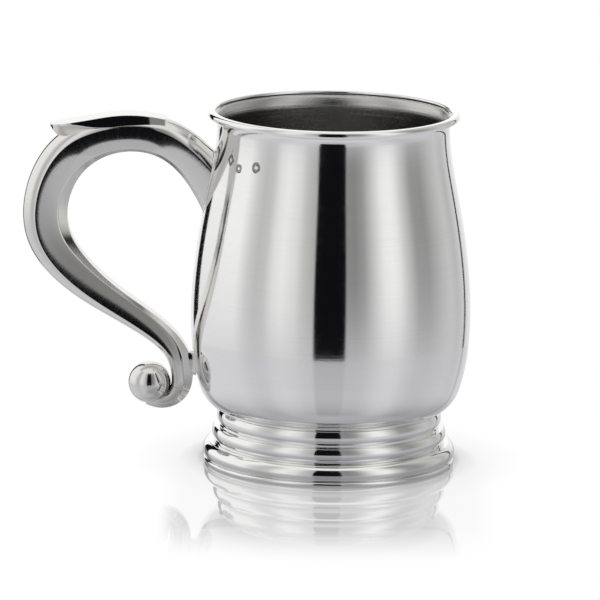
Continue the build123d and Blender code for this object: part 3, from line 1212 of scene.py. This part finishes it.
    def entry(self) -> np.ndarray:
        """Where each line along the arm meets the body.

        Along every line the distance from the axis less the body's radius there is followed from
        the inside out, and its last change of sign is found by straight interpolation.

        Returns:
            Distances run along the centre line, one for each point round the section.
        """
        at = np.linspace(0, 0.35 * self.joint, 900)
        grid = self.surface(at).reshape(len(at), self.across, 3)
        clear = np.hypot(grid[..., 0], grid[..., 1]) - self.body.radius_at(grid[..., 2])
        inside = clear <= 0
        last = len(at) - 1 - np.argmax(inside[::-1], axis=0)
        last = np.minimum(last, len(at) - 2)
        column = np.arange(self.across)
        a, b = clear[last, column], clear[last + 1, column]
        return at[last] + (at[last + 1] - at[last]) * np.clip(-a / (b - a), 0, 1)

    def marks_for(self, grid: np.ndarray, at: np.ndarray) -> np.ndarray:
        """Surface coordinates in metres: along the handle, and round the section.

        Args:
            grid: rows by columns by three coordinates.
            at: rows by columns of distances along the handle.

        Returns:
            Rows by columns by two.
        """
        girth = np.linalg.norm(np.diff(grid, axis=1, prepend=grid[:, -1:]), axis=2).mean(axis=0)
        round_it = np.broadcast_to(np.cumsum(girth), at.shape)
        return np.stack([at, round_it], axis=-1) * MM

    def make_arm(self) -> bpy.types.Object:
        """Both soldered halves of the arm as one skin, since their seam is polished away.

        Every line along the arm starts on the body and shares its run out evenly.

        Returns:
            The piece.
        """
        start = self.entry() - 0.15
        share = np.linspace(0, 1, self.arm_rows)[:, None]
        at = start[None] + (self.joint - start[None]) * share
        grid = self.strip(at)
        return skin("handle_arm", [grid], caps=True, uv=[self.marks_for(grid, at)])

    def make_terminal(self) -> bpy.types.Object:
        """The curl that goes on from the arm and the ball it ends in.

        The ball is a sphere given by its two angles, with its poles on the level axis.

        Returns:
            The piece.
        """
        along = np.linspace(self.joint, self.surface.length, self.curl_rows)[:, None]
        at = np.broadcast_to(along, (self.curl_rows, self.across))
        curl = self.strip(at)
        across = np.linspace(0, math.pi, 49)[:, None]
        lift = np.linspace(0, 2 * math.pi, 96, endpoint=False)[None]
        out, rise = self.ball_out, self.scroll[-2][1]
        x, _ = self.place(np.array(out), np.array(rise))
        _, z = self.place(np.array(0.0), np.array(rise))
        r = self.ball_radius
        ball = np.stack(
            [
                x + r * np.sin(across) * np.cos(lift),
                r * np.cos(across) * np.ones_like(lift),
                z + self.ball_rise + r * np.sin(across) * np.sin(lift),
            ],
            axis=-1,
        )
        marks = [self.marks_for(curl, at), ball[..., :2] * MM]
        return skin("scroll_terminal_ball", [curl, ball], caps=True, uv=marks)

    def make_leaf(self) -> bpy.types.Object:
        """The thumb leaf: a flat-topped wedge whose outline follows its stations smoothly.

        Returns:
            The piece.
        """
        stations = np.array(self.leaf)
        row = int(np.argmax(self.centres[:, 1]))
        top_x, top_z = self.centres[row]
        top = top_z + self.depth * self.arm[row][2] / 2 + self.leaf_lift
        half, level = stations[:, 2], top - stations[:, 1]
        waist, foot = level - stations[:, 3], level - stations[:, 4]
        zero = np.zeros_like(half)
        wide, low = half * stations[:, 5], half * stations[:, 6]
        corners = np.array(
            [(zero, level), (half, level), (wide, waist), (low, foot), (zero, foot)]
        ).transpose(2, 0, 1)
        t = np.linspace(0, 1, 13)[None, :, None]
        runs = [corners[:, k, None] * (1 - t) + corners[:, k + 1, None] * t for k in range(4)]
        right = self.joined(runs)
        left = right[:, -2:0:-1] * np.array([-1.0, 1.0])
        outline = np.concatenate([right, left], axis=1)
        x = np.broadcast_to((top_x - stations[:, 0])[:, None], outline.shape[:2])
        placed = np.stack([x, outline[..., 0], outline[..., 1]], axis=-1)
        line = SmoothCurve(placed.reshape(len(stations), -1), stations[:, 0])
        at = np.linspace(stations[0, 0], stations[-1, 0], self.leaf_rows)
        grid = line(at).reshape(self.leaf_rows, -1, 3)
        rows = np.broadcast_to(at[:, None], grid.shape[:2])
        return skin("thumb_leaf_blade", [grid], caps=True, uv=[self.marks_for(grid, rows)])

    def make_strut(self) -> bpy.types.Object:
        """The strut: a rounded upright block that swells a little where it meets its ends.

        Its section is |y/a|^n + |z/b|^n = 1, where n is the strut's power, and it grows by the
        square of the distance from its middle.

        Returns:
            The piece.
        """
        turn = np.linspace(0, 2 * math.pi, 72, endpoint=False)[None]
        power = self.strut_power
        wave = np.abs(np.cos(turn)) ** power + np.abs(np.sin(turn)) ** power
        size = wave ** (-1 / power)
        t = np.linspace(-1, 1, 21)[:, None]
        grow = 1 + self.strut_swell * t**2
        line = self.body.radius_at(np.array(self.low))
        x = -(line - 0.6) - self.strut_reach * (t + 1) / 2
        grid = np.stack(
            [
                np.broadcast_to(x, (len(t), turn.size)),
                self.strut_half_width * size * np.cos(turn) * grow * self.strut_middle,
                self.low + self.strut_height / 2 * size * np.sin(turn) * grow * self.strut_middle,
            ],
            axis=-1,
        )
        return skin("handle_strut_block", [grid], caps=True)

    def make_solder(self) -> bpy.types.Object:
        """The solder round the arm's end: a hollow fillet between the arm and the body.

        From a point of the arm just clear of the body to a point of the body just clear of the
        arm it is a quadratic curve drawn towards the line where the two meet.

        Returns:
            The piece.
        """
        start = self.entry()
        width = self.solder_width
        meet = self.strip(start[None])[0]
        up = self.strip((start + width)[None])[0]
        run = np.roll(meet, -1, axis=0) - np.roll(meet, 1, axis=0)
        run /= np.linalg.norm(run, axis=1)[:, None]
        radius = np.hypot(meet[:, 0], meet[:, 1])
        outward = np.stack([meet[:, 0] / radius, meet[:, 1] / radius, np.zeros(len(meet))], axis=1)
        aside = np.cross(run, outward)
        aside *= np.sign(np.sum(aside * (meet - meet.mean(axis=0)), axis=1))[:, None]
        down = meet + width * aside
        grown = self.body.radius_at(down[:, 2]) / np.hypot(down[:, 0], down[:, 1])
        down[:, :2] *= grown[:, None]
        t = np.linspace(0, 1, 9)[:, None, None]
        pull = meet + self.solder_pull * ((up + down) / 2 - meet)
        face = bow(up, pull, down, t)
        root = (meet - self.solder_root * outward)[None]
        return skin("handle_solder_run", [np.concatenate([face, root])], closed_rows=True)

    def build(self, finishes: dict[str, bpy.types.Material]) -> None:
        """Makes and dresses the handle's pieces.

        Args:
            finishes: materials by name.
        """
        halves = ("handle_near_half", "handle_far_half")
        stand_for(self.make_arm(), finishes["handle"], "polished_pewter", *halves)
        stand_for(self.make_terminal(), finishes["handle"], "polished_pewter", "scroll_terminal")
        stand_for(self.make_leaf(), finishes["leaf"], "polished_pewter", "thumb_leaf")
        stand_for(self.make_strut(), finishes["leaf"], "polished_pewter", "handle_strut")
        stand_for(self.make_solder(), finishes["solder"], "solder", "handle_solder")


# ---------------------------------------------------------------- studio
@dataclass
class Studio:
    """White floor, white tent with a dark opening in front, soft light and the camera.

    Turns and lifts are in degrees, shades of the tent from 0 to 255, lengths in metres.
    """

    camera_lift: float = 11.611
    camera_roll: float = 0.8814
    camera_base: float = 0.06
    distance: float = 2.0
    focus: tuple[float, float, float] = (-0.0104243, 0.0, 0.0549010)
    lens: float = 355.45
    sensor: float = 36.0
    clip: Span = (0.01, 50.0)
    strength: float = 1.25
    opening: Span = (-14.1, 12.7)
    opening_edge: float = 0.6
    opening_light: Shade = (0.004, 0.004, 0.005)
    seams: tuple[Span, ...] = ((-156.0, -141.0), (143.5, 148.5))
    seam_edge: float = 1.2
    walls: Rows = (
        (-180.0, 250), (-120.0, 240), (-102.0, 240), (-87.0, 238), (-74.0, 200), (-66.0, 186),
        (-58.0, 192), (-50.0, 222), (-42.0, 232), (-30.0, 215), (-24.0, 190), (-16.0, 172),
        (13.2, 136), (20.0, 130), (28.0, 148), (38.0, 201), (46.0, 232), (54.0, 238),
        (60.0, 228), (66.0, 201), (78.0, 148), (90.0, 143), (108.0, 180), (118.0, 192),
        (130.0, 178), (144.0, 205), (162.0, 235), (180.0, 250),
    )
    skirt_lifts: Span = (6.0, -24.0)
    skirt_share: float = 0.75
    skirt: Shade = (196, 196, 199)
    roof_lifts: Span = (50.0, 62.0)
    roof_light: Shade = (0.74, 0.74, 0.74)
    floor_radius: float = 0.185
    floor_sides: int = 128
    floor_roughness: float = 0.02
    floor_index: float = 2.8
    # painted shadow in the board's glow as the metal sees it: a grey that is darkest at the foot
    reflected_floor_shadow_span: Span = (0.044, 0.09)
    reflected_floor_shadow: Rows = ((0.0, 0.36, 0.36, 0.38), (1.0, 0.70, 0.70, 0.73))
    # painted contact shadow in the board's glow as the camera sees it, darkest at the foot
    painted_contact_shadow_span: Span = (0.042, 0.067)
    painted_contact_shadow: Rows = ((0.0, 0.30), (0.12, 0.72), (0.35, 0.93), (1.0, 1.0))
    mirror_share: float = 0.5
    mirror_fade: Span = (0.085, 0.15)
    mirror_side: Span = (0.046, 0.056)
    mirror_ahead: Span = (-0.01, 0.02)

    def light_of(self, shade: float) -> float:
        """Light from the tent that bright metal needs to look as pale as a shade.

        Args:
            shade: how pale the metal is to look, from 0 to 255.

        Returns:
            The light, as a share of the tent's strength.
        """
        value = shade / 255
        light = value / 12.92 if value < 0.04045 else ((value + 0.055) / 1.055) ** 2.4
        return light / BRIGHT / self.strength

    @staticmethod
    def slot(
        build: NodeBuilder, turn: bpy.types.NodeSocket, span: Span, soft: float
    ) -> bpy.types.NodeSocket:
        """An upright dark gap in the tent, 1 inside it and 0 outside.

        Args:
            build: the world's builder.
            turn: turn from the front, in radians.
            span: its two edges in degrees.
            soft: width of each edge in degrees.

        Returns:
            The mask's socket.
        """
        low, high = span
        left = build.remap(turn, (math.radians(low), math.radians(low + soft)))
        right = build.remap(turn, (math.radians(high - soft), math.radians(high)), FALLING)
        return build.math("MULTIPLY", left, right)

    def sky(self) -> None:
        """The tent as a world: shade by the direction's turn from the front, then by its lift.

        The turn is the angle of x against -y, and the lift is the arc sine of z.
        """
        world = bpy.data.worlds.new("tent")
        bpy.context.scene.world = world
        world.use_nodes = True
        world.node_tree.nodes.clear()
        build = NodeBuilder(world.node_tree)
        x, y, z = build.split(build.add("ShaderNodeTexCoord").outputs["Generated"])
        turn = build.math("ARCTAN2", x, build.math("MULTIPLY", y, -1.0))
        lift = build.math("ARCSINE", z)
        stops = tuple(((angle + 180) / 360, self.light_of(shade)) for angle, shade in self.walls)
        cloth = build.ramp(build.math("MULTIPLY_ADD", turn, 0.5 / math.pi, 0.5), stops)
        low, high = (
            tuple(math.radians(angle) for angle in span)
            for span in (self.skirt_lifts, self.roof_lifts)
        )
        skirt = tuple(self.light_of(shade) for shade in self.skirt)
        skirt_mask = build.remap(lift, low, (0.0, self.skirt_share))
        light = build.mix(skirt_mask, cloth, (*skirt, 1.0))
        dark = self.slot(build, turn, self.opening, self.opening_edge)
        for seam in self.seams:
            dark = build.math("MAXIMUM", dark, self.slot(build, turn, seam, self.seam_edge))
        light = build.mix(dark, light, (*self.opening_light, 1.0))
        light = build.mix(build.remap(lift, high), light, (*self.roof_light, 1.0))
        tent = build.fed("ShaderNodeBackground", {"Color": light, "Strength": self.strength})
        plain = build.fed("ShaderNodeBackground", {"Color": (1.0, 1.0, 1.0, 1.0)})
        seen = build.add("ShaderNodeLightPath").outputs["Is Camera Ray"]
        pick = {0: seen, 1: tent.outputs[0], 2: plain.outputs[0]}
        result = build.fed("ShaderNodeMixShader", pick).outputs[0]
        build.fed("ShaderNodeOutputWorld", {0: result})

    def floor(self) -> None:
        """A round white gloss board under the tankard.

        Looked at directly it glows white, with a painted contact shadow where it nears the foot,
        and mirrors only in a strip in front, which fades with |x|, with y and with the distance
        from the axis. To the metal's own reflections it glows a grey with a painted shadow that is
        darkest at the foot and pales outwards, with gloss all over.
        """
        mesh = bpy.data.meshes.new("board")
        angle = np.linspace(0, 2 * math.pi, self.floor_sides, endpoint=False)
        rim = np.stack([np.cos(angle), np.sin(angle), 0 * angle], axis=1) * self.floor_radius
        mesh.from_pydata(rim.tolist(), [], [list(range(self.floor_sides))])
        board = bpy.data.objects.new("board", mesh)
        bpy.context.scene.collection.objects.link(board)
        material = bpy.data.materials.new("white_board")
        material.use_nodes = True
        material.node_tree.nodes.clear()
        build = NodeBuilder(material.node_tree)
        place = build.add("ShaderNodeTexCoord").outputs["Object"]
        away = build.fed("ShaderNodeVectorMath", {0: place}, operation="LENGTH")
        radius = away.outputs["Value"]
        seen = build.add("ShaderNodeLightPath").outputs["Is Camera Ray"]
        # painted shadow: the grey glow that the metal sees darkens towards the foot
        reflected_floor_shadow = build.ramp(build.remap(radius, self.reflected_floor_shadow_span), self.reflected_floor_shadow)
        # painted contact shadow: the white glow that the camera sees darkens towards the foot
        contact_shadow_reach = build.remap(radius, self.painted_contact_shadow_span, smooth=False)
        shade = build.mix(seen, reflected_floor_shadow, build.ramp(contact_shadow_reach, self.painted_contact_shadow))
        x, y, _ = build.split(place)
        beside = build.remap(build.math("ABSOLUTE", x), self.mirror_side, FALLING)
        ahead = build.remap(y, self.mirror_ahead, FALLING)
        strip = build.remap(radius, self.mirror_fade, (self.mirror_share, 0.0))
        strip = build.math("MULTIPLY", build.math("MULTIPLY", strip, beside), ahead)
        grazing = build.fed("ShaderNodeFresnel", {"IOR": self.floor_index}).outputs[0]
        inputs = dict(zip(NUMBER_MIX_INPUTS, (seen, grazing, strip)))
        mirror = build.fed("ShaderNodeMix", inputs, data_type="FLOAT").outputs[0]
        glow = build.fed("ShaderNodeEmission", {"Color": shade})
        gloss = build.fed("ShaderNodeBsdfGlossy", {"Roughness": self.floor_roughness})
        blend = {0: mirror, 1: glow.outputs[0], 2: gloss.outputs[0]}
        result = build.fed("ShaderNodeMixShader", blend).outputs[0]
        build.fed("ShaderNodeOutputMaterial", {0: result})
        mesh.materials.append(material)

    def camera(self) -> None:
        """The camera, looking slightly down, with the small roll of a hand-set tripod.

        Its right and upward directions are turned by the roll about the line of sight.
        """
        lift = math.radians(self.camera_lift)
        height = self.camera_base + self.distance * math.sin(lift)
        where = Vector((0.0, -self.distance * math.cos(lift), height))
        ahead = (Vector(self.focus) - where).normalized()
        right = ahead.cross(Vector((0.0, 0.0, 1.0))).normalized()
        above = right.cross(ahead)
        roll = math.radians(self.camera_roll)
        side = math.cos(roll) * right + math.sin(roll) * above
        crown = -math.sin(roll) * right + math.cos(roll) * above
        data = bpy.data.cameras.new("view")
        data.lens = self.lens
        data.sensor_width = self.sensor
        data.clip_start, data.clip_end = self.clip
        camera = bpy.data.objects.new("view", data)
        camera.matrix_world = Matrix(
            (
                (side.x, crown.x, -ahead.x, where.x),
                (side.y, crown.y, -ahead.y, where.y),
                (side.z, crown.z, -ahead.z, where.z),
                (0.0, 0.0, 0.0, 1.0),
            )
        )
        bpy.context.scene.collection.objects.link(camera)
        bpy.context.scene.camera = camera

    def build(self) -> None:
        """Sets up the studio."""
        self.sky()
        self.floor()
        self.camera()
        bpy.context.scene.view_settings.view_transform = "Standard"


def make_finishes() -> dict[str, bpy.types.Material]:
    """Builds every finish of the tankard.

    Returns:
        Materials by short name.
    """
    groups = Groups()
    struck = (
        Struck(39.8, 0.1057, 0.0019, 2.0),
        Struck(59.1, 0.1063, 0.0022, 1.2),
        Struck(51.6, 0.1043, 0.0015, 3.0),
    )
    satin = Pewter(
        "satin_inside",
        colour=(0.56, 0.555, 0.54),
        roughness=0.2,
        haze=0.06,
        mark_depth=0.22,
        shade=0.12,
        fine=1600.0,
    )
    handle = Pewter(
        "buffed_handle",
        colour=(0.76, 0.752, 0.735),
        roughness=0.08,
        marks=Direction.ACROSS,
        mark_depth=0.015,
        fine=900.0,
        along=60.0,
    )
    leaf = Pewter(
        "buffed_leaf",
        colour=handle.colour,
        marks=Direction.FREE,
        mark_depth=0.01,
        fine=60.0,
        along=60.0,
    )
    solder = Pewter(
        "bright_solder",
        colour=(0.8, 0.8, 0.8),
        roughness=0.16,
        marks=Direction.FREE,
        mark_depth=0.15,
        fine=300.0,
        along=300.0,
    )
    finishes = {
        "bright": Pewter("bright_body", struck=struck),
        "lip": Pewter("bright_lip", roughness=0.07),
        "inside": satin,
        "foot": Pewter("bright_foot", roughness=0.04),
        "handle": handle,
        "leaf": leaf,
        "solder": solder,
    }
    return {name: finish.make(groups) for name, finish in finishes.items()}


def main() -> None:
    """Builds the tankard and its studio in order."""
    logging.basicConfig(level=logging.INFO, format="%(name)s %(message)s")
    finishes = make_finishes()
    body = Body()
    body.build(finishes)
    Foot().build(finishes)
    Handle(body).build(finishes)
    Studio().build()


if __name__ == "__main__":
    main()
